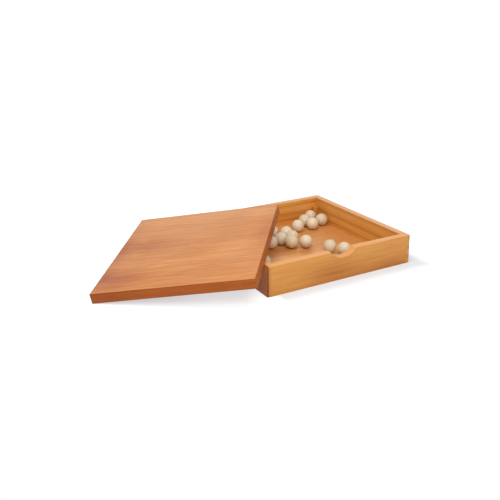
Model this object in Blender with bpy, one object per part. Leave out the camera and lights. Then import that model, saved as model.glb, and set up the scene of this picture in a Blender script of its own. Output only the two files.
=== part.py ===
# Marble solitaire board: a square wooden box with a lift off playing board and loose wooden balls.
# The board leans against the left wall with its plain face up, as when the game has just been opened.
# Row frame: origin at the centre of the box's underside, +X along the front wall, +Y to the back, +Z up.

import math

import bmesh
import bpy
from mathutils import Euler, Matrix, Vector

# Box, in metres. The box is square in plan.
BOX_WIDTH = 0.240
BOX_HEIGHT = 0.043
WALL_THICKNESS = 0.011
LAP_TONGUE = 0.0047
BOX_CORNER_RADIUS = 0.0025
RIM_RADIUS = 0.0015
FOOT_RADIUS = 0.0006

# Bottom panel, let into a rabbet all round and flush with the lower edge.
PANEL_THICKNESS = 0.005
PANEL_RABBET = 0.005

# Clearances between pieces that touch.
JOINT_GAP = 0.0003
BOARD_CLEARANCE = 0.0006

# Finger notch in the middle of the front wall's rim.
NOTCH_RADIUS = 0.0255
NOTCH_DEPTH = 0.010
SHOULDER_RADIUS = 0.003

# Playing board. Its seat in the box is as deep as the board is thick.
BOARD_THICKNESS = 0.0145
BOARD_EDGE_RADIUS = 0.0012
DIMPLE_DEPTH = 0.003
DIMPLE_CLEARANCE = 0.0005
DIMPLE_PITCH = 0.027

# Corner posts that carry the board when it closes the box.
POST_WIDTH = 0.008
POST_EDGE_RADIUS = 0.0008

# Loose balls.
BALL_DIAMETER = 0.020

# How the board leans: its near left corner stands on the table, this far out from the left wall
# and this far back from the front face, with its square turned in its own plane.
LEAN_REACH = 0.2006
LEAN_SETBACK = 0.0986
LEAN_TURN_DEGREES = -38.84

# One overrun serves every cut that has to pass a face.
CUT_OVERRUN = 0.002

# Vertices closer than this are merged.
MERGE_REACH = 0.00001

# Facets.
SHARP_ANGLE_DEGREES = 40
ALIGNED_SHARE = 0.999
ROUND_SEGMENTS = 3
BOARD_EDGE_SEGMENTS = 2
NOTCH_SEGMENTS = 12
SHOULDER_SEGMENTS = 3
DIMPLE_SEGMENTS = 16
DIMPLE_RINGS = 18
BALL_SEGMENTS = 12
BALL_RINGS = 8
HOLES_ACROSS = 7
ARM_REACH = 1
SETTLE_ROUNDS = 400

# Worked out from the driving sizes.
HALF_BOX = BOX_WIDTH / 2
HALF_INSIDE = HALF_BOX - WALL_THICKNESS
BOARD_WIDTH = 2 * (HALF_INSIDE - BOARD_CLEARANCE)
PANEL_WIDTH = 2 * (HALF_INSIDE + PANEL_RABBET - JOINT_GAP)
PANEL_TOP = PANEL_THICKNESS
SEAT_HEIGHT = BOX_HEIGHT - BOARD_THICKNESS
BALL_RADIUS = BALL_DIAMETER / 2
BALL_HEIGHT = PANEL_TOP + JOINT_GAP + BALL_RADIUS
DIMPLE_RADIUS = BALL_RADIUS + DIMPLE_CLEARANCE
LEAN_ANGLE = math.atan2(BOX_HEIGHT, LEAN_REACH)

# Ball places on the tray floor, as shares of the inside width from the tray's centre, chosen by hand.
# The first rows can be seen beside the board, and the others lie under it.
BALL_PLACE_SHARES = (
    (0.416, 0.451), (0.317, 0.386), (0.442, 0.337), (0.329, 0.294), (0.204, 0.303),
    (0.053, 0.220), (-0.050, 0.125), (0.043, 0.127), (-0.018, 0.034), (0.071, -0.012),
    (0.163, -0.174), (0.218, -0.266), (-0.148, 0.096), (-0.026, 0.288), (-0.369, -0.189),
    (-0.427, 0.430), (-0.328, 0.441), (-0.207, 0.439), (-0.086, 0.441),
    (-0.453, 0.313), (-0.360, 0.307), (-0.258, 0.313), (-0.154, 0.302),
    (-0.423, 0.203), (-0.313, 0.209), (-0.209, 0.198),
    (-0.453, 0.099), (-0.357, 0.104), (-0.264, 0.093),
    (-0.412, 0.000), (-0.308, -0.006), (-0.453, -0.105),
)


def clear_scene():
    for thing in list(bpy.data.objects):
        bpy.data.objects.remove(thing, do_unlink=True)


def make_material(name, colour, roughness):
    material = bpy.data.materials.new(name)
    material.use_nodes = True
    shader = material.node_tree.nodes["Principled BSDF"]
    shader.inputs["Base Color"].default_value = (*colour, 1.0)
    shader.inputs["Roughness"].default_value = roughness
    shader.inputs["Metallic"].default_value = 0.0
    return material


def place_object(name, mesh, material, location=(0, 0, 0), rotation=(0, 0, 0)):
    mesh.materials.clear()
    mesh.materials.append(material)
    thing = bpy.data.objects.new(name, mesh)
    thing.location = location
    thing.rotation_euler = rotation
    bpy.context.scene.collection.objects.link(thing)
    return thing


def mesh_from(form, name):
    bmesh.ops.recalc_face_normals(form, faces=form.faces)
    mesh = bpy.data.meshes.new(name)
    form.to_mesh(mesh)
    form.free()
    mesh.shade_smooth()
    mesh.set_sharp_from_angle(angle=math.radians(SHARP_ANGLE_DEGREES))
    return mesh


def extrude_outline(form, outline, lift):
    # Closes a flat outline and extrudes it by the vector lift.
    face = form.faces.new([form.verts.new(point) for point in outline])
    swept = bmesh.ops.extrude_face_region(form, geom=[face])
    moved = [item for item in swept["geom"] if isinstance(item, bmesh.types.BMVert)]
    bmesh.ops.translate(form, verts=moved, vec=lift)


def round_edges(form, wanted, radius, segments=ROUND_SEGMENTS):
    # Rounds every edge for which wanted(first, second, direction) is true.
    chosen = []
    for edge in form.edges:
        first, second = edge.verts[0].co, edge.verts[1].co
        direction = (second - first).normalized()
        if wanted(first, second, direction):
            chosen.append(edge)
    bmesh.ops.bevel(form, geom=chosen, offset=radius, segments=segments, profile=0.5,
                    affect="EDGES", clamp_overlap=True)


def runs_along(direction, axis):
    return abs(direction[axis]) > ALIGNED_SHARE


def notch_outline():
    # Half of the rim's line across the notch, from its left shoulder to its lowest point.
    centre_height = BOX_HEIGHT + NOTCH_RADIUS - NOTCH_DEPTH
    rise = NOTCH_RADIUS - NOTCH_DEPTH + SHOULDER_RADIUS
    shoulder_x = -math.sqrt((NOTCH_RADIUS + SHOULDER_RADIUS) ** 2 - rise ** 2)
    opening = math.atan2(-shoulder_x, rise)
    points = []
    for step in range(SHOULDER_SEGMENTS):
        angle = opening * step / SHOULDER_SEGMENTS
        points.append((shoulder_x + SHOULDER_RADIUS * math.sin(angle),
                       BOX_HEIGHT - SHOULDER_RADIUS * (1 - math.cos(angle))))
    for step in range(NOTCH_SEGMENTS + 1):
        angle = opening * (1 - step / NOTCH_SEGMENTS)
        points.append((-NOTCH_RADIUS * math.sin(angle), centre_height - NOTCH_RADIUS * math.cos(angle)))
    return points


def ring_line(offset):
    # The ring's plan line this far in from the outer face, each point with the rim's height there.
    left_half = notch_outline()
    notch = left_half + [(-x, z) for x, z in reversed(left_half[:-1])]
    radius = max(BOX_CORNER_RADIUS - offset, 0)
    reach = HALF_BOX - offset - radius
    points = []
    for corner, (side, end) in enumerate(((-1, -1), (1, -1), (1, 1), (-1, 1))):
        for step in range(ROUND_SEGMENTS + 1):
            angle = math.pi + (corner + step / ROUND_SEGMENTS) * math.pi / 2
            x = side * reach + radius * math.cos(angle)
            y = end * reach + radius * math.sin(angle)
            points.append((x, y, BOX_HEIGHT))
        if corner == 0:
            points += [(x, offset - HALF_BOX, z) for x, z in notch]
    return points


def rim_section():
    # The rim's rounded section from its outer to its inner face, as offset and drop below the rim.
    outer = []
    for step in range(ROUND_SEGMENTS + 1):
        angle = step / ROUND_SEGMENTS * math.pi / 2
        outer.append((RIM_RADIUS * (1 - math.cos(angle)), RIM_RADIUS * (1 - math.sin(angle))))
    return outer + [(WALL_THICKNESS - offset, drop) for offset, drop in reversed(outer)]


def build_ring_mesh():
    # All four walls as one ring with its notch and rounded edges. Each wall is later cut out of it,
    # so the roundings run on smoothly from wall to wall.
    form = bmesh.new()
    loops = []
    for offset, rise in ((FOOT_RADIUS, 0), (0, FOOT_RADIUS)):
        loops.append([form.verts.new((x, y, rise)) for x, y, _ in ring_line(offset)])
    for offset, drop in rim_section():
        loops.append([form.verts.new((x, y, rim - drop)) for x, y, rim in ring_line(offset)])
    loops.append([form.verts.new((x, y, 0)) for x, y, _ in ring_line(WALL_THICKNESS)])
    for number, loop in enumerate(loops):
        following = loops[(number + 1) % len(loops)]
        for place in range(len(loop)):
            after = (place + 1) % len(loop)
            form.faces.new((loop[place], loop[after], following[after], following[place]))
    bmesh.ops.remove_doubles(form, verts=form.verts, dist=MERGE_REACH)
    return mesh_from(form, "wall_ring")


def make_cutter(name, corner, opposite):
    # A box between two opposite corners.
    form = bmesh.new()
    bmesh.ops.create_cube(form, size=1.0)
    centre = (Vector(corner) + Vector(opposite)) / 2
    size = [abs(far - near) for near, far in zip(corner, opposite)]
    bmesh.ops.scale(form, verts=form.verts, vec=size)
    bmesh.ops.translate(form, verts=form.verts, vec=centre)
    mesh = bpy.data.meshes.new(name)
    form.to_mesh(mesh)
    form.free()
    return hide_cutter(bpy.data.objects.new(name, mesh))


def hide_cutter(cutter):
    cutter.hide_render = True
    cutter.display_type = "WIRE"
    bpy.context.scene.collection.objects.link(cutter)
    return cutter


def subtract(thing, cutter):
    boolean = thing.modifiers.new("cut", "BOOLEAN")
    boolean.operation = "DIFFERENCE"
    boolean.solver = "EXACT"
    boolean.object = cutter


def cut_wall(name, ring, material, cuts):
    # Cuts boxes away from a copy of the ring, each given by two opposite corners.
    wall = place_object(name, ring.copy(), material)
    for number, (corner, opposite) in enumerate(cuts):
        subtract(wall, make_cutter(f"{name}_cut_{number}", corner, opposite))
    return wall


def build_walls(material):
    # The two pieces of a corner joint each stand half a gap off the inside face's plane.
    ring = build_ring_mesh()
    far = HALF_BOX + CUT_OVERRUN
    inside = HALF_INSIDE - CUT_OVERRUN
    above = BOX_HEIGHT + CUT_OVERRUN
    below = -CUT_OVERRUN
    lap_end = HALF_BOX - LAP_TONGUE
    wall_end = lap_end - JOINT_GAP
    before_joint = HALF_INSIDE - JOINT_GAP / 2
    past_joint = HALF_INSIDE + JOINT_GAP / 2
    rabbet_end = HALF_INSIDE + PANEL_RABBET
    rabbet_top = PANEL_THICKNESS + JOINT_GAP

    for name, end in (("front_wall", -1), ("back_wall", 1)):
        cuts = [
            ((-far, end * inside, below), (far, -end * far, above)),
            ((-far, 0, below), (far, end * rabbet_end, rabbet_top)),
        ]
        for side in (-1, 1):
            cuts.append(((side * before_joint, end * past_joint, below), (side * far, 0, above)))
            cuts.append(((side * wall_end, end * far, below), (side * far, 0, above)))
        cut_wall(name, ring, material, cuts)

    for name, side in (("left_wall", -1), ("right_wall", 1)):
        cuts = [
            ((side * inside, -far, below), (-side * far, far, above)),
            ((0, -far, below), (side * rabbet_end, far, rabbet_top)),
        ]
        for end in (-1, 1):
            cuts.append(((0, end * before_joint, below), (side * lap_end, end * far, above)))
        cut_wall(name, ring, material, cuts)


def build_panel(material):
    form = bmesh.new()
    half = PANEL_WIDTH / 2
    extrude_outline(form, [(-half, -half, 0), (half, -half, 0), (half, half, 0), (-half, half, 0)],
                    (0, 0, PANEL_THICKNESS))
    return place_object("floor_panel", mesh_from(form, "floor_panel"), material)


def build_posts(material):
    form = bmesh.new()
    half = POST_WIDTH / 2
    bottom = PANEL_TOP + JOINT_GAP
    outline = [(-half, -half, 0), (half, -half, 0), (half, half, 0), (-half, half, 0)]
    extrude_outline(form, outline, (0, 0, SEAT_HEIGHT - bottom))
    round_edges(form, lambda a, b, d: runs_along(d, 2), POST_EDGE_RADIUS, 1)
    mesh = mesh_from(form, "corner_post")
    centre = HALF_INSIDE - JOINT_GAP - half
    places = (("front_left_post", -1, -1), ("front_right_post", 1, -1),
              ("back_left_post", -1, 1), ("back_right_post", 1, 1))
    for name, side, end in places:
        place_object(name, mesh, material, location=(side * centre, end * centre, bottom))


def hole_places():
    # The cross of thirty three holes: a square of holes without its four corner blocks.
    middle = (HOLES_ACROSS - 1) // 2
    for row in range(-middle, middle + 1):
        for column in range(-middle, middle + 1):
            if min(abs(row), abs(column)) <= ARM_REACH:
                yield column * DIMPLE_PITCH, row * DIMPLE_PITCH


def build_board(material):
    # Own frame: origin at the middle of the dimpled face, +Z out of the plain face.
    form = bmesh.new()
    half = BOARD_WIDTH / 2
    extrude_outline(form, [(-half, -half, 0), (half, -half, 0), (half, half, 0), (-half, half, 0)],
                    (0, 0, BOARD_THICKNESS))
    round_edges(form, lambda a, b, d: True, BOARD_EDGE_RADIUS, BOARD_EDGE_SEGMENTS)
    mesh = mesh_from(form, "playing_board")

    cutter_form = bmesh.new()
    for x, y in hole_places():
        centre = Matrix.Translation((x, y, DIMPLE_DEPTH - DIMPLE_RADIUS))
        bmesh.ops.create_uvsphere(cutter_form, u_segments=DIMPLE_SEGMENTS, v_segments=DIMPLE_RINGS,
                                  radius=DIMPLE_RADIUS, matrix=centre)
    cutter_mesh = bpy.data.meshes.new("dimples")
    cutter_form.to_mesh(cutter_mesh)
    cutter_form.free()
    cutter = hide_cutter(bpy.data.objects.new("dimples", cutter_mesh))

    turned = Euler((0, 0, math.radians(LEAN_TURN_DEGREES))).to_matrix()
    turn = Euler((0, -LEAN_ANGLE, 0)).to_matrix() @ turned
    near_left = Vector((-HALF_BOX - LEAN_REACH, -HALF_BOX + LEAN_SETBACK, 0))
    centre = near_left + turn @ Vector((half, half, 0))
    rotation = turn.to_euler()
    board = place_object("playing_board", mesh, material, location=centre, rotation=rotation)
    cutter.location = centre
    cutter.rotation_euler = rotation
    subtract(board, cutter)
    return board


def keep_in_tray(place):
    # Moves a ball's centre inside the walls and clear of the nearest corner post.
    limit = HALF_INSIDE - BALL_RADIUS - JOINT_GAP
    x = max(-limit, min(limit, place.x))
    y = max(-limit, min(limit, place.y))
    post_edge = HALF_INSIDE - JOINT_GAP - POST_WIDTH
    corner = Vector((math.copysign(post_edge, x), math.copysign(post_edge, y)))
    away = Vector((x, y)) - corner
    reach = BALL_RADIUS + JOINT_GAP
    if min(abs(x), abs(y)) > post_edge:
        return corner - corner.normalized() * reach
    if away.length < reach:
        return corner + away.normalized() * reach
    return Vector((x, y))


def ease_apart(places, spacing):
    # Moves each pair of balls that is closer than the spacing apart by equal steps.
    moved = False
    for first in range(len(places)):
        for second in range(first + 1, len(places)):
            offset = places[second] - places[first]
            if offset.length < spacing:
                step = offset.normalized() * ((spacing - offset.length) / 2)
                places[first] = places[first] - step
                places[second] = places[second] + step
                moved = True
    return moved


def settle_balls():
    # Starts from the chosen places and eases apart any balls that would share space.
    width = 2 * HALF_INSIDE
    places = [keep_in_tray(Vector(shares) * width) for shares in BALL_PLACE_SHARES]
    for _ in range(SETTLE_ROUNDS):
        if not ease_apart(places, BALL_DIAMETER + JOINT_GAP):
            break
        places = [keep_in_tray(place) for place in places]
    return places


def build_balls(material):
    form = bmesh.new()
    bmesh.ops.create_uvsphere(form, u_segments=BALL_SEGMENTS, v_segments=BALL_RINGS, radius=BALL_RADIUS)
    mesh = mesh_from(form, "ball")
    for number, (x, y) in enumerate(settle_balls(), start=1):
        place_object(f"ball_{number:02d}", mesh, material, location=(x, y, BALL_HEIGHT))


def build():
    clear_scene()
    box_wood = make_material("box_wood", (0.60, 0.29, 0.09), 0.42)
    panel_wood = make_material("panel_wood", (0.55, 0.26, 0.09), 0.45)
    board_wood = make_material("board_wood", (0.56, 0.24, 0.12), 0.40)
    ball_wood = make_material("ball_wood", (0.80, 0.66, 0.45), 0.45)
    build_walls(box_wood)
    build_panel(panel_wood)
    build_posts(box_wood)
    build_board(board_wood)
    build_balls(ball_wood)


build()
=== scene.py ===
# Marble solitaire board, opened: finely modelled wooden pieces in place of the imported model's solids.
# Units are metres in the frame's axes: origin at the centre of the box's underside, +X along the front
# wall, +Y to the back and +Z up. Wood textures work in millimetres along, across and into the grain.

import math

import bmesh
import bpy
from mathutils import Euler, Matrix, Vector


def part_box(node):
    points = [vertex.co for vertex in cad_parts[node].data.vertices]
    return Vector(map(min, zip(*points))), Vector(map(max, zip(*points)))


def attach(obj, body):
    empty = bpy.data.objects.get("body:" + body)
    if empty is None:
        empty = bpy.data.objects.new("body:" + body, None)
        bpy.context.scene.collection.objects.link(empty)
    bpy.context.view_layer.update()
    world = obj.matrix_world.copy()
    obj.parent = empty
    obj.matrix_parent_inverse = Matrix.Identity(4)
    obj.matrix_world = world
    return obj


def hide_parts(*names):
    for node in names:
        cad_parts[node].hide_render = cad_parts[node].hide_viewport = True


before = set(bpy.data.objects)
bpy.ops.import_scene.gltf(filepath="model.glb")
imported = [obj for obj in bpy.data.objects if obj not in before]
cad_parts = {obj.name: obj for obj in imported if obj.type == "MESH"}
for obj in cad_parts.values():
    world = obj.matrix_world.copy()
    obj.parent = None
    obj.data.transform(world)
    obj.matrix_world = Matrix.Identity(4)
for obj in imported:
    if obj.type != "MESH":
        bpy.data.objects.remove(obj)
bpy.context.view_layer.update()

# Sizes read from the frame.
HALF_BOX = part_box("right_wall")[1].x
BOX_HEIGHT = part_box("right_wall")[1].z
WALL_THICKNESS = HALF_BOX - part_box("right_wall")[0].x
HALF_INSIDE = HALF_BOX - WALL_THICKNESS
FRONT_WALL_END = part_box("front_wall")[1].x
PANEL_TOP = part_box("floor_panel")[1].z
PANEL_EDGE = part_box("floor_panel")[1].x
BALL_RADIUS = (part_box("ball_01")[1].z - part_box("ball_01")[0].z) / 2
BALL_COUNT = sum(name.startswith("ball_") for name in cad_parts)

# Box details.
JOINT_GAP = 0.0003
GLUE_LINE = 0.0001
BOX_CORNER_RADIUS = 0.0025
RIM_RADIUS = 0.0015
FOOT_RADIUS = 0.0006
NOTCH_RADIUS = 0.0255
NOTCH_DEPTH = 0.010
SHOULDER_RADIUS = 0.003
POST_EDGE_RADIUS = 0.0008
PANEL_EDGE_RADIUS = 0.0003

# Playing board details and how it leans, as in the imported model.
BOARD_CLEARANCE = 0.0006
BOARD_WIDTH = 2 * (HALF_INSIDE - BOARD_CLEARANCE)
BOARD_THICKNESS = 0.0145
BOARD_EDGE_RADIUS = 0.0012
DIMPLE_DEPTH = 0.003
DIMPLE_RADIUS = 0.0105
DIMPLE_PITCH = 0.027
DIMPLE_LIP = 0.0006
HOLES_ACROSS = 7
ARM_REACH = 1
LEAN_REACH = 0.2006
LEAN_SETBACK = 0.0986
LEAN_TURN_DEGREES = -38.84

# Mesh fineness. The dimple's segments are a multiple of 8, so that spokes meet its cell's corners.
ARC_SEGMENTS = 6
NOTCH_SEGMENTS = 40
SHOULDER_SEGMENTS = 8
DIMPLE_SEGMENTS = 32
DIMPLE_RINGS = 8
LIP_RINGS = 4
BALL_SEGMENTS = 48
BALL_RINGS = 32
CUT_OVERRUN = 0.002
MERGE_REACH = 0.00001
SHARP_ANGLE = math.radians(35)

MM_PER_M = 1000
QUARTER_TURN = math.pi / 2
EIGHTH_TURN = math.pi / 4


# Meshes.

def mesh_from(form, name):
    bmesh.ops.remove_doubles(form, verts=form.verts, dist=MERGE_REACH)
    bmesh.ops.recalc_face_normals(form, faces=form.faces)
    mesh = bpy.data.meshes.new(name)
    form.to_mesh(mesh)
    form.free()
    smooth(mesh)
    return mesh


def smooth(mesh):
    mesh.shade_smooth()
    mesh.set_sharp_from_angle(angle=SHARP_ANGLE)


def add_object(name, data):
    thing = bpy.data.objects.new(name, data)
    bpy.context.scene.collection.objects.link(thing)
    return thing


def place_piece(name, mesh, material, body, node, matrix=Matrix.Identity(4)):
    mesh.materials.clear()
    mesh.materials.append(material)
    piece = add_object(name, mesh)
    piece.matrix_world = matrix
    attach(piece, body)
    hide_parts(node)


def join_loops(form, loops, closed):
    # Faces between each loop of points and the next, and from the last back to the first if closed.
    count = len(loops) if closed else len(loops) - 1
    for number in range(count):
        loop = loops[number]
        following = loops[(number + 1) % len(loops)]
        for place in range(len(loop)):
            after = (place + 1) % len(loop)
            form.faces.new((loop[place], loop[after], following[after], following[place]))


def close_loop(form, loop, point):
    # Triangles from a loop of points to one point inside it.
    tip = form.verts.new(point)
    for place in range(len(loop)):
        form.faces.new((loop[place], loop[(place + 1) % len(loop)], tip))


def quarter_arc(radius):
    # A quarter round from an upright face to a level one, as offset inwards and drop below the top.
    turns = [step / ARC_SEGMENTS * QUARTER_TURN for step in range(ARC_SEGMENTS + 1)]
    return [(radius * (1 - math.cos(turn)), radius * (1 - math.sin(turn))) for turn in turns]


def corner_arcs(half, radius):
    # The four rounded corners of a square outline, anticlockwise from the front left one.
    reach = half - radius
    arcs = []
    for corner, (side, end) in enumerate(((-1, -1), (1, -1), (1, 1), (-1, 1))):
        angles = [math.pi + (corner + step / ARC_SEGMENTS) * QUARTER_TURN
                  for step in range(ARC_SEGMENTS + 1)]
        arcs.append([(side * reach + radius * math.cos(angle), end * reach + radius * math.sin(angle))
                     for angle in angles])
    return arcs


# Box walls.

def notch_outline():
    # Half of the rim's line across the notch, from its left shoulder to its lowest point.
    centre_height = BOX_HEIGHT + NOTCH_RADIUS - NOTCH_DEPTH
    rise = NOTCH_RADIUS - NOTCH_DEPTH + SHOULDER_RADIUS
    shoulder_x = -math.sqrt((NOTCH_RADIUS + SHOULDER_RADIUS) ** 2 - rise ** 2)
    opening = math.atan2(-shoulder_x, rise)
    points = []
    for step in range(SHOULDER_SEGMENTS):
        angle = opening * step / SHOULDER_SEGMENTS
        points.append((shoulder_x + SHOULDER_RADIUS * math.sin(angle),
                       BOX_HEIGHT - SHOULDER_RADIUS * (1 - math.cos(angle))))
    for step in range(NOTCH_SEGMENTS + 1):
        angle = opening * (1 - step / NOTCH_SEGMENTS)
        points.append((-NOTCH_RADIUS * math.sin(angle), centre_height - NOTCH_RADIUS * math.cos(angle)))
    return points


def ring_line(offset):
    # The walls' plan line this far in from the outer face, each point with the rim's height there.
    left_half = notch_outline()
    notch = left_half + [(-x, z) for x, z in reversed(left_half[:-1])]
    points = []
    for corner, arc in enumerate(corner_arcs(HALF_BOX - offset, max(BOX_CORNER_RADIUS - offset, 0))):
        points += [(x, y, BOX_HEIGHT) for x, y in arc]
        if corner == 0:
            points += [(x, offset - HALF_BOX, z) for x, z in notch]
    return points


def build_ring_mesh():
    form = bmesh.new()
    foot = [(FOOT_RADIUS - offset, FOOT_RADIUS - drop) for offset, drop in quarter_arc(FOOT_RADIUS)]
    rim = quarter_arc(RIM_RADIUS)
    rim += [(WALL_THICKNESS - offset, drop) for offset, drop in reversed(rim)]
    loops = []
    for offset, drop in foot:
        loops.append([form.verts.new((x, y, FOOT_RADIUS - drop)) for x, y, _ in ring_line(offset)])
    for offset, drop in rim:
        loops.append([form.verts.new((x, y, height - drop)) for x, y, height in ring_line(offset)])
    loops.append([form.verts.new((x, y, 0)) for x, y, _ in ring_line(WALL_THICKNESS)])
    join_loops(form, loops, closed=True)
    return mesh_from(form, "wall_ring")


def cut_boxes(mesh, cuts):
    # The mesh without these boxes, each given by two opposite corners.
    work = add_object("work", mesh)
    cutters = []
    for corner, opposite in cuts:
        form = bmesh.new()
        bmesh.ops.create_cube(form, size=1.0)
        size = [abs(far - near) for near, far in zip(corner, opposite)]
        bmesh.ops.scale(form, verts=form.verts, vec=size)
        bmesh.ops.translate(form, verts=form.verts, vec=(Vector(corner) + Vector(opposite)) / 2)
        cutter_mesh = bpy.data.meshes.new("cutter")
        form.to_mesh(cutter_mesh)
        form.free()
        cutter = add_object("cutter", cutter_mesh)
        boolean = work.modifiers.new("cut", "BOOLEAN")
        boolean.operation = "DIFFERENCE"
        boolean.solver = "EXACT"
        boolean.object = cutter
        cutters.append(cutter)
    bpy.context.view_layer.update()
    evaluated = work.evaluated_get(bpy.context.evaluated_depsgraph_get())
    result = bpy.data.meshes.new_from_object(evaluated)
    for thing in [work] + cutters:
        bpy.data.objects.remove(thing, do_unlink=True)
    smooth(result)
    return result


def build_walls():
    ring = build_ring_mesh()
    far = HALF_BOX + CUT_OVERRUN
    inside = HALF_INSIDE - CUT_OVERRUN
    above = BOX_HEIGHT + CUT_OVERRUN
    below = -CUT_OVERRUN
    lap_end = FRONT_WALL_END + GLUE_LINE
    before_joint = HALF_INSIDE - GLUE_LINE / 2
    past_joint = HALF_INSIDE + GLUE_LINE / 2
    rabbet_end = PANEL_EDGE + JOINT_GAP
    rabbet_top = PANEL_TOP + JOINT_GAP

    for name, end in (("front_wall", -1), ("back_wall", 1)):
        cuts = [
            ((-far, end * inside, below), (far, -end * far, above)),
            ((-far, 0, below), (far, end * rabbet_end, rabbet_top)),
        ]
        for side in (-1, 1):
            cuts.append(((side * before_joint, end * past_joint, below), (side * far, 0, above)))
            cuts.append(((side * FRONT_WALL_END, end * far, below), (side * far, 0, above)))
        mesh = cut_boxes(ring.copy(), cuts)
        place_piece(f"{name}_wood", mesh, wall_wood(name), "box", name)

    for name, side in (("left_wall", -1), ("right_wall", 1)):
        cuts = [
            ((side * inside, -far, below), (-side * far, far, above)),
            ((0, -far, below), (side * rabbet_end, far, rabbet_top)),
        ]
        for end in (-1, 1):
            cuts.append(((0, end * before_joint, below), (side * lap_end, end * far, above)))
        mesh = cut_boxes(ring.copy(), cuts)
        place_piece(f"{name}_wood", mesh, wall_wood(name), "box", name)


# Panel, posts, board and balls.

def side_line(half, radius, shares):
    # A square's outline with rounded corners, and more points along each side where the shares say.
    reach = half - radius
    points = []
    for corner, arc in enumerate(corner_arcs(half, radius)):
        points += arc
        along = Matrix.Rotation(corner * QUARTER_TURN, 2)
        points += [tuple(along @ Vector((share * reach, -half))) for share in shares]
    return points


def slab_loops(form, half, radius, thickness, shares):
    # Loops of a slab with all its edges rounded, from its lower face over its sides to its upper face.
    arc = quarter_arc(radius)
    levels = list(reversed(arc)) + [(offset, thickness - drop) for offset, drop in arc]
    loops = []
    for offset, level in levels:
        line = side_line(half - offset, max(radius - offset, 0), shares)
        loops.append([form.verts.new((x, y, level)) for x, y in line])
    return loops


def build_slab_mesh(name, half, radius, thickness):
    form = bmesh.new()
    loops = slab_loops(form, half, radius, thickness, ())
    join_loops(form, loops, closed=False)
    form.faces.new(loops[0])
    form.faces.new(loops[-1])
    return mesh_from(form, name)


def build_panel():
    low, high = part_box("floor_panel")
    mesh = build_slab_mesh("floor_panel", PANEL_EDGE, PANEL_EDGE_RADIUS, high.z - low.z)
    matrix = Matrix.Translation((0, 0, low.z))
    place_piece("floor_panel_wood", mesh, panel_wood(), "box", "floor_panel", matrix)


def build_posts():
    material = post_wood()
    for name in ("front_left_post", "front_right_post", "back_left_post", "back_right_post"):
        low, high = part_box(name)
        mesh = build_slab_mesh(name, (high.x - low.x) / 2, POST_EDGE_RADIUS, high.z - low.z)
        matrix = Matrix.Translation(((low.x + high.x) / 2, (low.y + high.y) / 2, low.z))
        place_piece(f"{name}_wood", mesh, material, "box", name, matrix)


def dimple_profile():
    # From the rounded lip to just before the deepest point, as distance from the axis and height over
    # the face.
    centre_height = DIMPLE_DEPTH - DIMPLE_RADIUS
    lip_centre = math.sqrt((DIMPLE_RADIUS + DIMPLE_LIP) ** 2 - (DIMPLE_LIP - centre_height) ** 2)
    lip_turn = math.atan2(lip_centre, DIMPLE_LIP - centre_height)
    points = []
    for step in range(LIP_RINGS + 1):
        turn = lip_turn * step / LIP_RINGS
        points.append((lip_centre - DIMPLE_LIP * math.sin(turn), DIMPLE_LIP * (1 - math.cos(turn))))
    for step in range(1, DIMPLE_RINGS):
        turn = lip_turn * (1 - step / DIMPLE_RINGS)
        points.append((DIMPLE_RADIUS * math.sin(turn), centre_height + DIMPLE_RADIUS * math.cos(turn)))
    return points


def cell_edge_shares():
    # Where a cell's spokes meet one of its sides, as shares of half the side, without its far end.
    spokes = DIMPLE_SEGMENTS // 8
    return [math.tan(EIGHTH_TURN * step / spokes) for step in range(-spokes, spokes)]


def add_cell(form, x, y, has_dimple):
    # One square of the playing face, plain or with its dimple.
    half = DIMPLE_PITCH / 2
    rim = []
    for corner in range(4):
        along = Matrix.Rotation(corner * QUARTER_TURN, 2)
        rim += [Vector((x, y)) + along @ Vector((share * half, -half)) for share in cell_edge_shares()]
    loops = [[form.verts.new((point.x, point.y, 0)) for point in rim]]
    if has_dimple:
        # The rings start towards the cell's front left corner, as its rim does.
        start = -3 * EIGHTH_TURN
        turns = [start + 2 * math.pi * step / len(rim) for step in range(len(rim))]
        for distance, height in dimple_profile():
            ring = [(x + distance * math.cos(turn), y + distance * math.sin(turn), height)
                    for turn in turns]
            loops.append([form.verts.new(point) for point in ring])
        join_loops(form, loops, closed=False)
    close_loop(form, loops[-1], (x, y, DIMPLE_DEPTH if has_dimple else 0))


def board_matrix():
    # The board's near left corner on the table and its lower face on the left wall's rim.
    lean = math.atan2(BOX_HEIGHT, LEAN_REACH)
    turned = Euler((0, 0, math.radians(LEAN_TURN_DEGREES))).to_matrix()
    turn = Euler((0, -lean, 0)).to_matrix() @ turned
    near_left = Vector((-HALF_BOX - LEAN_REACH, -HALF_BOX + LEAN_SETBACK, 0))
    half = BOARD_WIDTH / 2
    return Matrix.Translation(near_left + turn @ Vector((half, half, 0))) @ turn.to_4x4()


def build_board():
    # The playing face is made of cells, with a rim whose points match theirs.
    form = bmesh.new()
    middle = (HOLES_ACROSS - 1) // 2
    for row in range(-middle, middle + 1):
        for column in range(-middle, middle + 1):
            has_dimple = min(abs(row), abs(column)) <= ARM_REACH
            add_cell(form, column * DIMPLE_PITCH, row * DIMPLE_PITCH, has_dimple)

    half_field = HOLES_ACROSS * DIMPLE_PITCH / 2
    shares = []
    for column in range(-middle, middle + 1):
        shares += [(column + share / 2) * 2 / HOLES_ACROSS for share in cell_edge_shares()]
    shares = shares[1:]
    loops = slab_loops(form, BOARD_WIDTH / 2, BOARD_EDGE_RADIUS, BOARD_THICKNESS, shares)
    field = [form.verts.new((x, y, 0)) for x, y in side_line(half_field, 0, shares)]
    join_loops(form, [field] + loops, closed=False)
    close_loop(form, loops[-1], (0, 0, BOARD_THICKNESS))
    mesh = mesh_from(form, "playing_board")
    place_piece("playing_board_wood", mesh, board_wood(), "board", "playing_board",
                board_matrix())


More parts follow.
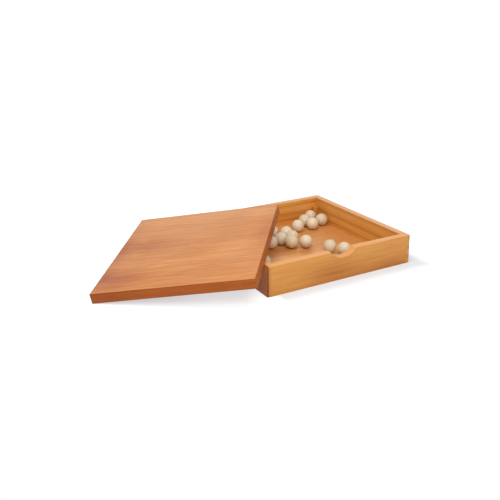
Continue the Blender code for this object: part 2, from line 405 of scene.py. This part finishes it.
def build_balls():
    material = ball_wood()
    for number in range(1, BALL_COUNT + 1):
        name = f"ball_{number:02d}"
        low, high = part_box(name)
        form = bmesh.new()
        bmesh.ops.create_uvsphere(form, u_segments=BALL_SEGMENTS, v_segments=BALL_RINGS, radius=BALL_RADIUS)
        mesh = mesh_from(form, name)
        matrix = Matrix.Translation((low + high) / 2)
        place_piece(f"{name}_wood", mesh, material, name, name, matrix)


# Node trees.

# The standard curve from a screen colour to a linear one.
SCREEN_WHITE = 255
TOE_END = 0.04045
TOE_SLOPE = 12.92
CURVE_OFFSET = 0.055
CURVE_POWER = 2.4

# The places of the Mix node's colour sockets, which share their names with its other kinds.
MIX_FIRST_COLOUR = 6
MIX_SECOND_COLOUR = 7
MIX_RESULT_COLOUR = 2


def colour(red, green, blue):
    # A screen colour of 0 to 255 as a linear colour.
    def linear(value):
        share = value / SCREEN_WHITE
        if share <= TOE_END:
            return share / TOE_SLOPE
        return ((share + CURVE_OFFSET) / (1 + CURVE_OFFSET)) ** CURVE_POWER
    return (linear(red), linear(green), linear(blue), 1.0)


class Graph:
    # Adds and links the nodes of one material or world.

    def __init__(self, owner):
        owner.use_nodes = True
        self.tree = owner.node_tree

    def node(self, kind, **settings):
        made = self.tree.nodes.new(kind)
        for key, value in settings.items():
            setattr(made, key, value)
        return made

    def feed(self, socket, value):
        # Links an output to a socket, or sets the socket to a plain value.
        if isinstance(value, bpy.types.NodeSocket):
            self.tree.links.new(value, socket)
        else:
            socket.default_value = value

    def maths(self, operation, first, second=0.0):
        made = self.node("ShaderNodeMath", operation=operation)
        self.feed(made.inputs[0], first)
        self.feed(made.inputs[1], second)
        return made.outputs[0]

    def about(self, signal, weight):
        # A signal of 0 to 1 as a swing about zero.
        return self.maths("MULTIPLY", self.maths("SUBTRACT", signal, 0.5), weight)

    def vector(self, operation, first, second=None):
        made = self.node("ShaderNodeVectorMath", operation=operation)
        self.feed(made.inputs[0], first)
        if second is not None:
            self.feed(made.inputs[1], second)
        return made.outputs["Value" if operation in ("LENGTH", "DISTANCE", "DOT_PRODUCT") else "Vector"]

    def axes(self, vector):
        made = self.node("ShaderNodeSeparateXYZ")
        self.feed(made.inputs[0], vector)
        return made.outputs

    def blend(self, factor, first, second, how="MIX"):
        made = self.node("ShaderNodeMix", data_type="RGBA", blend_type=how)
        self.feed(made.inputs[0], factor)
        self.feed(made.inputs[MIX_FIRST_COLOUR], first)
        self.feed(made.inputs[MIX_SECOND_COLOUR], second)
        return made.outputs[MIX_RESULT_COLOUR]

    def span(self, value, low, high, to_low=0.0, to_high=1.0, smooth_ends=True):
        made = self.node("ShaderNodeMapRange", interpolation_type="SMOOTHSTEP" if smooth_ends else "LINEAR")
        for place, given in enumerate((value, low, high, to_low, to_high)):
            self.feed(made.inputs[place], given)
        return made.outputs[0]

    def stretched(self, vector, along):
        # Coordinates in which a pattern is drawn out along the grain.
        return self.vector("MULTIPLY", vector, (along, 1.0, 1.0))

    def noise(self, vector, along, scale, detail, roughness=0.5, distortion=0.0):
        made = self.node("ShaderNodeTexNoise")
        self.feed(made.inputs["Vector"], self.stretched(vector, along))
        made.inputs["Scale"].default_value = scale
        made.inputs["Detail"].default_value = detail
        made.inputs["Roughness"].default_value = roughness
        made.inputs["Distortion"].default_value = distortion
        return made.outputs["Fac"]

    def ramp(self, value, stops, smooth_stops=True):
        made = self.node("ShaderNodeValToRGB")
        made.color_ramp.interpolation = "B_SPLINE" if smooth_stops else "LINEAR"
        elements = made.color_ramp.elements
        while len(elements) > 1:
            elements.remove(elements[-1])
        for place, (position, shade) in enumerate(stops):
            element = elements[0] if place == 0 else elements.new(position)
            element.position = position
            element.color = shade if hasattr(shade, "__len__") else (shade, shade, shade, 1.0)
        self.feed(made.inputs[0], value)
        return made.outputs[0]

    def matt(self, shade):
        made = self.node("ShaderNodeBsdfDiffuse")
        made.inputs["Color"].default_value = shade
        return made.outputs[0]

    def glow(self, shade, strength):
        made = self.node("ShaderNodeEmission")
        made.inputs["Color"].default_value = shade
        self.feed(made.inputs["Strength"], strength)
        return made.outputs[0]

    def mix(self, factor, first, second):
        made = self.node("ShaderNodeMixShader")
        for place, given in enumerate((factor, first, second)):
            self.feed(made.inputs[place], given)
        return made.outputs[0]

    def camera_sees(self):
        # 1 for rays from the camera and for mirrored or see-through rays, 0 for those that carry light.
        path = self.node("ShaderNodeLightPath")
        total = path.outputs["Is Camera Ray"]
        for name in ("Is Glossy Ray", "Is Transmission Ray"):
            total = self.maths("MAXIMUM", total, path.outputs[name])
        return total


# Wood.

# The object's axes along, across and into the grain.
GRAIN_ORDER = {"x": "XYZ", "x_upright": "XZY", "y_upright": "YZX", "z": "ZXY"}

# The most radians by which an object's own chance turns its grain round each axis.
OWN_TURN_SPREADS = (97.0, 61.0, 139.0)

# Noise as stretch along the grain, scale, detail, roughness and distortion.
SWAY = (0.18, 0.022, 2.0)
RIPPLE = (0.10, 0.16, 3.0)
STREAK = (0.035, 0.42, 5.0, 0.72, 0.15)
FIBRE = (0.030, 3.2, 3.0, 0.6)
CLOUD = (0.30, 0.020, 3.0, 0.55, 0.3)
GLOSS = (0.25, 0.09, 3.0)
FLECK_DETAIL = 2.0

# How far sway and ripple move the rings, in millimetres, and their share in the bands and spots.
SWAY_REACH = 14.0
RIPPLE_REACH = 2.4
BAND_SHIFT = 0.35
SPOT_RAGGEDNESS = 0.9

# The part of each signal that is used. Fibres, clouds and bands swing less, and weigh more for it.
STREAK_SPAN = (0.28, 0.72)
FLECK_SPAN = (0.33, 0.67)
PORE_SPAN = (0.20, 0.07)
GLOSS_SPAN = (0.3, 0.7)
NARROW_SIGNAL_BOOST = 2.0

# The tone across one year's ring.
RING_TONES = ((0.0, 0.30), (0.35, 0.38), (0.78, 0.62), (0.93, 0.85), (1.0, 0.30))

# How squarely a face looks up, for the painted highlight on tops, and how squarely a rounded edge faces a
# direction, for the painted shade on edges.
TOP_HIGHLIGHT_SPAN = (0.25, 0.95)
EDGE_START_SPAN = (0.04, 0.30)
EDGE_END_SPAN = (0.995, 0.90)

# Varnish: how gloss and pores change its roughness, its fine relief, and its index of refraction.
GLOSS_ROUGHNESS = (-0.05, 0.06)
PORE_ROUGHNESS = 0.18
FIBRE_RELIEF = 0.35
RELIEF_STRENGTH = 0.35
RELIEF_HEIGHT = 0.00006
VARNISH_IOR = 1.45


def grain_place(graph, grain, offset, own_turn):
    # Millimetres along, across and into the grain, moved to a place of its own in the tree, and the
    # same unmoved. With own_turn each object that shares the material has its grain turned another way.
    place = graph.node("ShaderNodeTexCoord").outputs["Object"]
    if own_turn:
        chance = graph.node("ShaderNodeObjectInfo").outputs["Random"]
        angles = graph.node("ShaderNodeCombineXYZ")
        for axis, spread in enumerate(OWN_TURN_SPREADS):
            graph.feed(angles.inputs[axis], graph.maths("MULTIPLY", chance, spread))
        turned = graph.node("ShaderNodeVectorRotate", rotation_type="EULER_XYZ")
        graph.feed(turned.inputs["Vector"], place)
        graph.feed(turned.inputs["Rotation"], angles.outputs[0])
        place = turned.outputs[0]
    parts = graph.axes(place)
    joined = graph.node("ShaderNodeCombineXYZ")
    for number, axis in enumerate(GRAIN_ORDER[grain]):
        graph.feed(joined.inputs[number], parts["XYZ".index(axis)])
    scaled = graph.vector("MULTIPLY", joined.outputs[0], (MM_PER_M, MM_PER_M, MM_PER_M))
    return graph.vector("ADD", scaled, offset), scaled


def ring_signal(graph, place, shift, pith, width):
    # The tone across the year's rings, which lie round the pith.
    across = graph.vector("MULTIPLY", graph.vector("SUBTRACT", place, pith), (0.0, 1.0, 1.0))
    turns = graph.maths("DIVIDE", graph.maths("ADD", graph.vector("LENGTH", across), shift), width)
    return graph.ramp(graph.maths("FRACT", turns), RING_TONES)


def band_signal(graph, plain, shift, bands, band_span):
    # The tones of wide bands along the grain.
    waved = graph.maths("ADD", graph.axes(plain)[1], graph.maths("MULTIPLY", shift, BAND_SHIFT))
    return graph.ramp(graph.span(waved, *band_span, smooth_ends=False), bands)


def pore_signal(graph, place, stretch, scale):
    # 1 in the pores and 0 between them.
    cells = graph.node("ShaderNodeTexVoronoi", feature="F1")
    graph.feed(cells.inputs["Vector"], graph.stretched(place, stretch))
    cells.inputs["Scale"].default_value = scale
    return graph.span(cells.outputs["Distance"], *PORE_SPAN)


def add_spots(graph, tone, plain, streak, spots):
    # Darker and paler patches with ragged borders. On the board they are tone of the wood; on the walls they
    # are painted shade, and on the floor panel the two paler ones are painted light.
    for centre, reach, strength in spots:
        apart = graph.vector("DIVIDE", graph.vector("SUBTRACT", plain, centre), reach)
        ragged = graph.maths("ADD", graph.vector("LENGTH", apart), graph.about(streak, SPOT_RAGGEDNESS))
        spot = graph.span(ragged, 1.0, 0.0)
        tone = graph.maths("ADD", tone, graph.maths("MULTIPLY", spot, strength))
    return tone


def facing(graph, direction, both_ways):
    # How squarely the surface faces this direction in the piece's own axes.
    normal = graph.node("ShaderNodeTexCoord").outputs["Normal"]
    level = graph.vector("DOT_PRODUCT", normal, direction)
    return graph.maths("ABSOLUTE", level) if both_ways else level


# Multiplies a tint into the colour by this amount, for stain and for painted shade.
def stain_and_shade(graph, shade, amount, tint):
    return graph.blend(amount, shade, graph.blend(1.0, shade, tint, how="MULTIPLY"))


def paint_top_highlight(graph, shade, amount):
    # Painted highlight: faces that look up are paler.
    geometry = graph.node("ShaderNodeNewGeometry")
    upward = graph.span(graph.axes(geometry.outputs["Normal"])[2], *TOP_HIGHLIGHT_SPAN)
    return graph.blend(graph.maths("MULTIPLY", upward, amount), shade, TOP_HIGHLIGHT_COLOUR)


def stain_and_shade_sides(graph, shade, tint, direction, both_ways, side_span):
    # Some sides are darker than the wide faces: on the board partly stain and partly painted shade, on the
    # left wall painted shade from the leaning board.
    return stain_and_shade(graph, shade, graph.span(facing(graph, direction, both_ways), *side_span), tint)


def shade_edges(graph, shade, tint, direction, both_ways):
    # Painted shade: rounded edges are darker, as along the front wall's foot where it meets the floor.
    level = facing(graph, direction, both_ways)
    start = graph.span(level, *EDGE_START_SPAN)
    end = graph.span(level, *EDGE_END_SPAN)
    return stain_and_shade(graph, shade, graph.maths("MULTIPLY", start, end), tint)


def stain_rims(graph, shade, plain, tint, half, width):
    # A narrow dark band along the low end in X and the high end in Y.
    ends = graph.axes(plain)
    low_end = graph.span(ends[0], width - half, -half)
    high_end = graph.span(ends[1], half - width, half)
    return stain_and_shade(graph, shade, graph.maths("MAXIMUM", low_end, high_end), tint)


def varnish(graph, shader, place, fibre, pore, roughness, specular):
    smoothest, roughest = (roughness + change for change in GLOSS_ROUGHNESS)
    rough = graph.span(graph.noise(place, *GLOSS), *GLOSS_SPAN, smoothest, roughest, smooth_ends=False)
    rough = graph.maths("ADD", rough, graph.maths("MULTIPLY", pore, PORE_ROUGHNESS))
    graph.feed(shader.inputs["Roughness"], rough)
    relief = graph.maths("SUBTRACT", graph.maths("MULTIPLY", fibre, FIBRE_RELIEF), pore)
    bump = graph.node("ShaderNodeBump")
    bump.inputs["Strength"].default_value = RELIEF_STRENGTH
    bump.inputs["Distance"].default_value = RELIEF_HEIGHT
    graph.feed(bump.inputs["Height"], relief)
    graph.feed(shader.inputs["Normal"], bump.outputs[0])
    shader.inputs["IOR"].default_value = VARNISH_IOR
    shader.inputs["Specular IOR Level"].default_value = specular


def wood(name, grain, offset, palette, pith, ring_width, weights, depth=0.5, bands=None, band_span=(0, 1),
         spots=(), flecks=0.0, fleck_form=(0.06, 0.32), pore_form=(0.14, 1.25), pore_depth=0.35,
         roughness=0.40, specular=0.5, top_highlight=0.0, side_stain_and_shade=None, edge_shade=None, rim_stain=None,
         own_turn=False):
    # palette runs from pale to deep, and depth is the tone's middle. weights are those of rings,
    # streaks, fibres, bands and clouds. bands run across band_span. A spot is a centre, a reach and a
    # strength. The forms of flecks and pores are their stretch along the grain and their scale.
    # The side and edge tints each give a tint, the way that the darkened faces look, and whether the
    # opposite way counts too.
    # The edge tint is painted shade; the side tint is partly stain and partly painted shade, and adds how
    # squarely they face it, where it starts and is full. The rim stain gives a tint, half the piece's width
    # and the rims' width. The top's painted highlight is an amount.
    material = bpy.data.materials.new(name)
    graph = Graph(material)
    place, plain = grain_place(graph, grain, offset, own_turn)

    sway = graph.about(graph.noise(place, *SWAY), SWAY_REACH)
    ripple = graph.about(graph.noise(place, *RIPPLE), RIPPLE_REACH)
    shift = graph.maths("ADD", sway, ripple)
    ring = ring_signal(graph, place, shift, pith, ring_width)
    streak = graph.span(graph.noise(place, *STREAK), *STREAK_SPAN, smooth_ends=False)
    fibre = graph.noise(place, *FIBRE)
    cloud = graph.noise(place, *CLOUD)
    fleck = graph.span(graph.noise(place, *fleck_form, FLECK_DETAIL), *FLECK_SPAN, smooth_ends=False)
    pore = pore_signal(graph, place, *pore_form)

    ring_weight, streak_weight, fibre_weight, band_weight, cloud_weight = weights
    signals = [(ring, ring_weight), (streak, streak_weight), (fibre, fibre_weight * NARROW_SIGNAL_BOOST),
               (cloud, cloud_weight * NARROW_SIGNAL_BOOST), (fleck, flecks)]
    if bands:
        band = band_signal(graph, plain, shift, bands, band_span)
        signals.append((band, band_weight * NARROW_SIGNAL_BOOST))
    tone = depth
    for signal, weight in signals:
        tone = graph.maths("ADD", tone, graph.about(signal, weight))
    tone = add_spots(graph, tone, plain, streak, spots)

    stops = [(step / (len(palette) - 1), stop) for step, stop in enumerate(palette)]
    shade = graph.ramp(tone, stops, smooth_stops=False)
    shade = graph.blend(graph.maths("MULTIPLY", pore, pore_depth), shade, palette[-1])
    if top_highlight:
        shade = paint_top_highlight(graph, shade, top_highlight)
    if side_stain_and_shade:
        shade = stain_and_shade_sides(graph, shade, *side_stain_and_shade)
    if edge_shade:
        shade = shade_edges(graph, shade, *edge_shade)
    if rim_stain:
        shade = stain_rims(graph, shade, plain, *rim_stain)

    shader = graph.tree.nodes["Principled BSDF"]
    graph.feed(shader.inputs["Base Color"], shade)
    varnish(graph, shader, place, fibre, pore, roughness, specular)
    return material


def palette_of(*shades):
    return [colour(*shade) for shade in shades]


OCHRE_PALETTE = palette_of((234, 174, 98), (220, 154, 74), (206, 136, 58), (186, 112, 40), (142, 74, 24))
BOARD_PALETTE = palette_of((225, 161, 101), (213, 147, 88), (197, 128, 72), (177, 103, 53), (136, 64, 32))
PANEL_PALETTE = palette_of((224, 162, 96), (212, 148, 82), (199, 133, 70), (180, 110, 52), (138, 74, 32))
BALL_PALETTE = palette_of((240, 228, 204), (230, 215, 188), (215, 196, 165), (196, 172, 138), (148, 116, 82))

# The colour of the painted highlight on faces that look up.
TOP_HIGHLIGHT_COLOUR = colour(218, 158, 108)
# The tint of the painted shade on the walls' rounded edges.
WALL_EDGE_SHADE = (0.42, 0.33, 0.28, 1.0)
# Each wall is paler on its rim as painted highlight, and darker on its rounded edges as painted shade.
WALL_LOOKS = {
    "front_wall": {
        "grain": "x_upright", "offset": (40, 310, 20), "depth": 0.47, "top_highlight": 0.40,
        # The bands and spots darken the front wall towards the bottom, more to the right: painted shade.
        "bands": ((0.0, 0.62), (0.2, 0.52), (0.5, 0.48), (0.75, 0.42), (1.0, 0.38)),
        "spots": (((88, 2, 0), (70, 16, 400), 0.20), ((-14, 16, 0), (74, 28, 400), 0.36)),
        "edge_shade": (WALL_EDGE_SHADE, (0, 0, -1), False),
    },
    "back_wall": {
        "grain": "x_upright", "offset": (-620, 45, -130), "depth": 0.42, "top_highlight": 0.50,
        "bands": ((0.0, 0.50), (0.18, 0.40), (0.28, 0.90), (0.38, 0.40), (0.52, 0.84), (0.60, 0.36),
                  (0.76, 0.34), (0.84, 0.76), (0.92, 0.45), (1.0, 0.50)),
        # The spot darkens the back wall at its right end: painted shade in the corner with the right wall.
        "spots": (((109, 20, 0), (14, 44, 400), 0.26),),
        "edge_shade": (WALL_EDGE_SHADE, (0, 1, 0), False),
    },
    "left_wall": {
        "grain": "y_upright", "offset": (900, -260, 75), "depth": 0.44, "top_highlight": 0.40,
        "bands": ((0.0, 0.60), (0.3, 0.5), (0.6, 0.58), (1.0, 0.5)),
        # The tint on the outer face is painted shade from the leaning board.
        "side_stain_and_shade": ((0.80, 0.58, 0.36, 1.0), (-1, 0, 0), False, (0.55, 0.95)),
        "edge_shade": (WALL_EDGE_SHADE, (-1, 0, 0), False),
    },
    "right_wall": {
        "grain": "y_upright", "offset": (210, 560, -340), "depth": 0.34, "top_highlight": 0.80,
        # The bands hold the grain's dark lines; the darker band just under the rim is painted shade.
        "bands": ((0.0, 0.55), (0.16, 0.42), (0.245, 0.90), (0.30, 0.46), (0.46, 0.38), (0.56, 0.92),
                  (0.62, 0.50), (0.80, 0.34), (0.90, 0.60), (1.0, 0.66)),
        # The spot darkens the right wall at its back end: painted shade in the corner with the back wall.
        "spots": (((100, 20, 0), (44, 34, 400), 0.26),),
        "edge_shade": (WALL_EDGE_SHADE, (1, 0, 0), False),
    },
}

# The first two spots, paler, are painted light on the panel near the front wall.
PANEL_SPOTS_AND_PAINTED_LIGHT = (
    ((-42, -24, 5), (52, 20, 4), -0.75),
    ((44, -30, 5), (44, 26, 4), -0.60),
    ((-14, 6, 5), (30, 14, 4), 0.20),
    ((60, 60, 5), (44, 44, 4), -0.06),
)

BOARD_BANDS = ((0.0, 0.52), (0.10, 0.44), (0.22, 0.50), (0.34, 0.44), (0.48, 0.56), (0.60, 0.60),
               (0.72, 0.50), (0.86, 0.46), (1.0, 0.40))
BOARD_SPOTS = (
    ((-78, 12, 14), (64, 30, 40), 0.18),
    ((106, 20, 14), (26, 80, 40), 0.18),
    ((-95, -76, 14), (84, 46, 40), 0.32),
    ((-108, 0, 14), (26, 120, 40), 0.20),
    ((0, 90, 14), (130, 24, 40), -0.14),
    ((-10, -40, 14), (90, 22, 40), -0.10),
    ((84, 84, 14), (42, 24, 40), -0.14),
    ((60, -20, 14), (60, 40, 40), -0.10),
)
# The board's sides are darker, partly stain and partly painted shade.
BOARD_SIDE_STAIN_AND_SHADE = (0.72, 0.42, 0.10, 1.0)
BOARD_SIDE_SPAN = (0.99, 0.70)
# The tint of the painted shade on the board's rounded edges.
BOARD_EDGE_SHADE = (0.74, 0.68, 0.62, 1.0)
BOARD_RIM_STAIN = (0.44, 0.38, 0.36, 1.0)
BOARD_RIM_WIDTH = 2.6


def wall_wood(name):
    return wood(f"{name}_wood", palette=OCHRE_PALETTE, pith=(0, 420, -60), ring_width=9.0,
                weights=(0.15, 0.25, 0.17, 0.62, 0.20), band_span=(0, BOX_HEIGHT * MM_PER_M), flecks=0.11,
                **WALL_LOOKS[name])


def panel_wood():
    return wood("floor_panel_wood", "x", (130, -75, 400), PANEL_PALETTE, pith=(0, 40, 900), ring_width=12.0,
                weights=(0.15, 0.24, 0.16, 0.4, 0.26), spots=PANEL_SPOTS_AND_PAINTED_LIGHT, flecks=0.10)


def post_wood():
    return wood("post_wood", "z", (-45, 610, 210), OCHRE_PALETTE, pith=(0, 700, 180), ring_width=6.0,
                weights=(0.06, 0.26, 0.16, 0.0, 0.10), depth=0.62)


def board_wood():
    half = BOARD_WIDTH / 2 * MM_PER_M
    upright = (0, 0, 1)
    return wood("playing_board_wood", "x", (-310, 120, 50), BOARD_PALETTE, pith=(0, 180, 300),
                ring_width=11.0, weights=(0.07, 0.26, 0.32, 0.20, 0.14), bands=BOARD_BANDS,
                band_span=(-half, half), spots=BOARD_SPOTS, flecks=0.16, roughness=0.36, specular=0.30,
                side_stain_and_shade=(BOARD_SIDE_STAIN_AND_SHADE, upright, True, BOARD_SIDE_SPAN),
                edge_shade=(BOARD_EDGE_SHADE, upright, True),
                rim_stain=(BOARD_RIM_STAIN, half, BOARD_RIM_WIDTH))


def ball_wood():
    return wood("ball_wood", "z", (0, 0, 0), BALL_PALETTE, pith=(0, 14, 9), ring_width=2.4,
                weights=(0.10, 0.20, 0.20, 0.0, 0.40), flecks=0.34, fleck_form=(0.70, 0.70),
                pore_form=(0.45, 0.75), pore_depth=0.22, roughness=0.46, own_turn=True)


# Stage, lights and camera.

WHITE = (1.0, 1.0, 1.0, 1.0)
FLOOR_HALF = 3.0

# The floor for rays that carry light, and its matt part and glow as the camera sees it. The glow is
# less where something stands close.
FLOOR_BOUNCE = (0.50, 0.50, 0.51, 1.0)
FLOOR_SEEN = (0.70, 0.70, 0.70, 1.0)
FLOOR_GLOW = (0.95, 0.97, 1.0, 1.0)
CONTACT_REACH = 0.03
CONTACT_SPAN = (0.30, 0.85)
CONTACT_GLOW = (0.575, 0.65)

# Where the floor that takes shadows ends and plain white begins.
SHADOW_CENTRE = (-0.1, -0.03, 0)
SHADOW_REACH = 0.28
SHADOW_FADE = 0.14

# The soft shade round the box's foot: its strength, how far from the walls it is full and gone, and
# how far it takes to set in from the left.
FOOT_SHADE = 0.40
FOOT_SHADE_FULL = 0.008
FOOT_SHADE_GONE = 0.052
FOOT_SHADE_LEFT_END = 0.020

# The world's strength as light and as the camera sees it.
WORLD_LIGHT = 0.52
WORLD_SEEN = 1.0

# Name, place, size and power. The lamps aim at the origin.
LAMPS = (
    ("front_lamp", (-0.45, -1.30, 1.05), 0.5, 10.5),
    ("left_lamp", (-0.55, -0.40, 1.60), 0.9, 13),
)

CAMERA_PLACE = (-0.5138, -0.8042, 0.3692)
CAMERA_PITCH_DEGREES = 71.89
CAMERA_YAW_DEGREES = -30.98
CAMERA_LENS = 48.04
CAMERA_SHIFT = (-0.058, -0.067)


def foot_shade(graph, place):
    # The box stands still, so the soft shade round its foot goes by the distance from its walls. On
    # the left the board's own shadow takes its place.
    sides = graph.axes(graph.vector("ABSOLUTE", place))
    farther = graph.maths("MAXIMUM", sides[0], sides[1])
    shade = graph.span(farther, HALF_BOX + FOOT_SHADE_FULL, HALF_BOX + FOOT_SHADE_GONE, FOOT_SHADE, 0.0)
    left_end = graph.span(graph.axes(place)[0], -HALF_BOX, -HALF_BOX + FOOT_SHADE_LEFT_END,
                          smooth_ends=False)
    return graph.maths("MULTIPLY", shade, left_end)


def floor_material():
    material = bpy.data.materials.new("floor_white")
    graph = Graph(material)
    graph.tree.nodes.clear()
    place = graph.node("ShaderNodeTexCoord").outputs["Object"]

    contact = graph.node("ShaderNodeAmbientOcclusion")
    contact.inputs["Distance"].default_value = CONTACT_REACH
    strength = graph.span(contact.outputs["AO"], *CONTACT_SPAN, *CONTACT_GLOW, smooth_ends=False)
    near = graph.node("ShaderNodeAddShader")
    graph.feed(near.inputs[0], graph.matt(FLOOR_SEEN))
    graph.feed(near.inputs[1], graph.glow(FLOOR_GLOW, strength))

    distance = graph.vector("DISTANCE", place, SHADOW_CENTRE)
    away = graph.span(distance, SHADOW_REACH, SHADOW_REACH + SHADOW_FADE)
    near_or_far = graph.mix(away, near.outputs[0], graph.glow(WHITE, 1.0))
    shaded = graph.mix(foot_shade(graph, place), near_or_far, graph.glow(WHITE, 0.0))
    seen = graph.mix(graph.camera_sees(), graph.matt(FLOOR_BOUNCE), shaded)
    graph.feed(graph.node("ShaderNodeOutputMaterial").inputs[0], seen)
    return material


def build_floor():
    form = bmesh.new()
    bmesh.ops.create_grid(form, x_segments=1, y_segments=1, size=FLOOR_HALF)
    mesh = mesh_from(form, "floor")
    mesh.materials.append(floor_material())
    floor = add_object("floor", mesh)


def build_world():
    world = bpy.data.worlds.new("studio")
    bpy.context.scene.world = world
    graph = Graph(world)
    background = graph.tree.nodes["Background"]
    background.inputs["Color"].default_value = WHITE
    strength = graph.span(graph.camera_sees(), 0.0, 1.0, WORLD_LIGHT, WORLD_SEEN, smooth_ends=False)
    graph.feed(background.inputs["Strength"], strength)


def build_lamps():
    for name, place, size, power in LAMPS:
        data = bpy.data.lights.new(name, "AREA")
        data.shape = "SQUARE"
        data.size = size
        data.energy = power
        lamp = add_object(name, data)
        lamp.location = place
        lamp.rotation_euler = (-Vector(place)).to_track_quat("-Z", "Y").to_euler()


def build_camera():
    data = bpy.data.cameras.new("camera")
    data.lens = CAMERA_LENS
    data.shift_x, data.shift_y = CAMERA_SHIFT
    camera = add_object("camera", data)
    camera.location = CAMERA_PLACE
    camera.rotation_euler = (math.radians(CAMERA_PITCH_DEGREES), 0, math.radians(CAMERA_YAW_DEGREES))
    bpy.context.scene.camera = camera


build_walls()
build_panel()
build_posts()
build_board()
build_balls()
build_floor()
build_world()
build_lamps()
build_camera()
bpy.context.scene.view_settings.view_transform = "Standard"
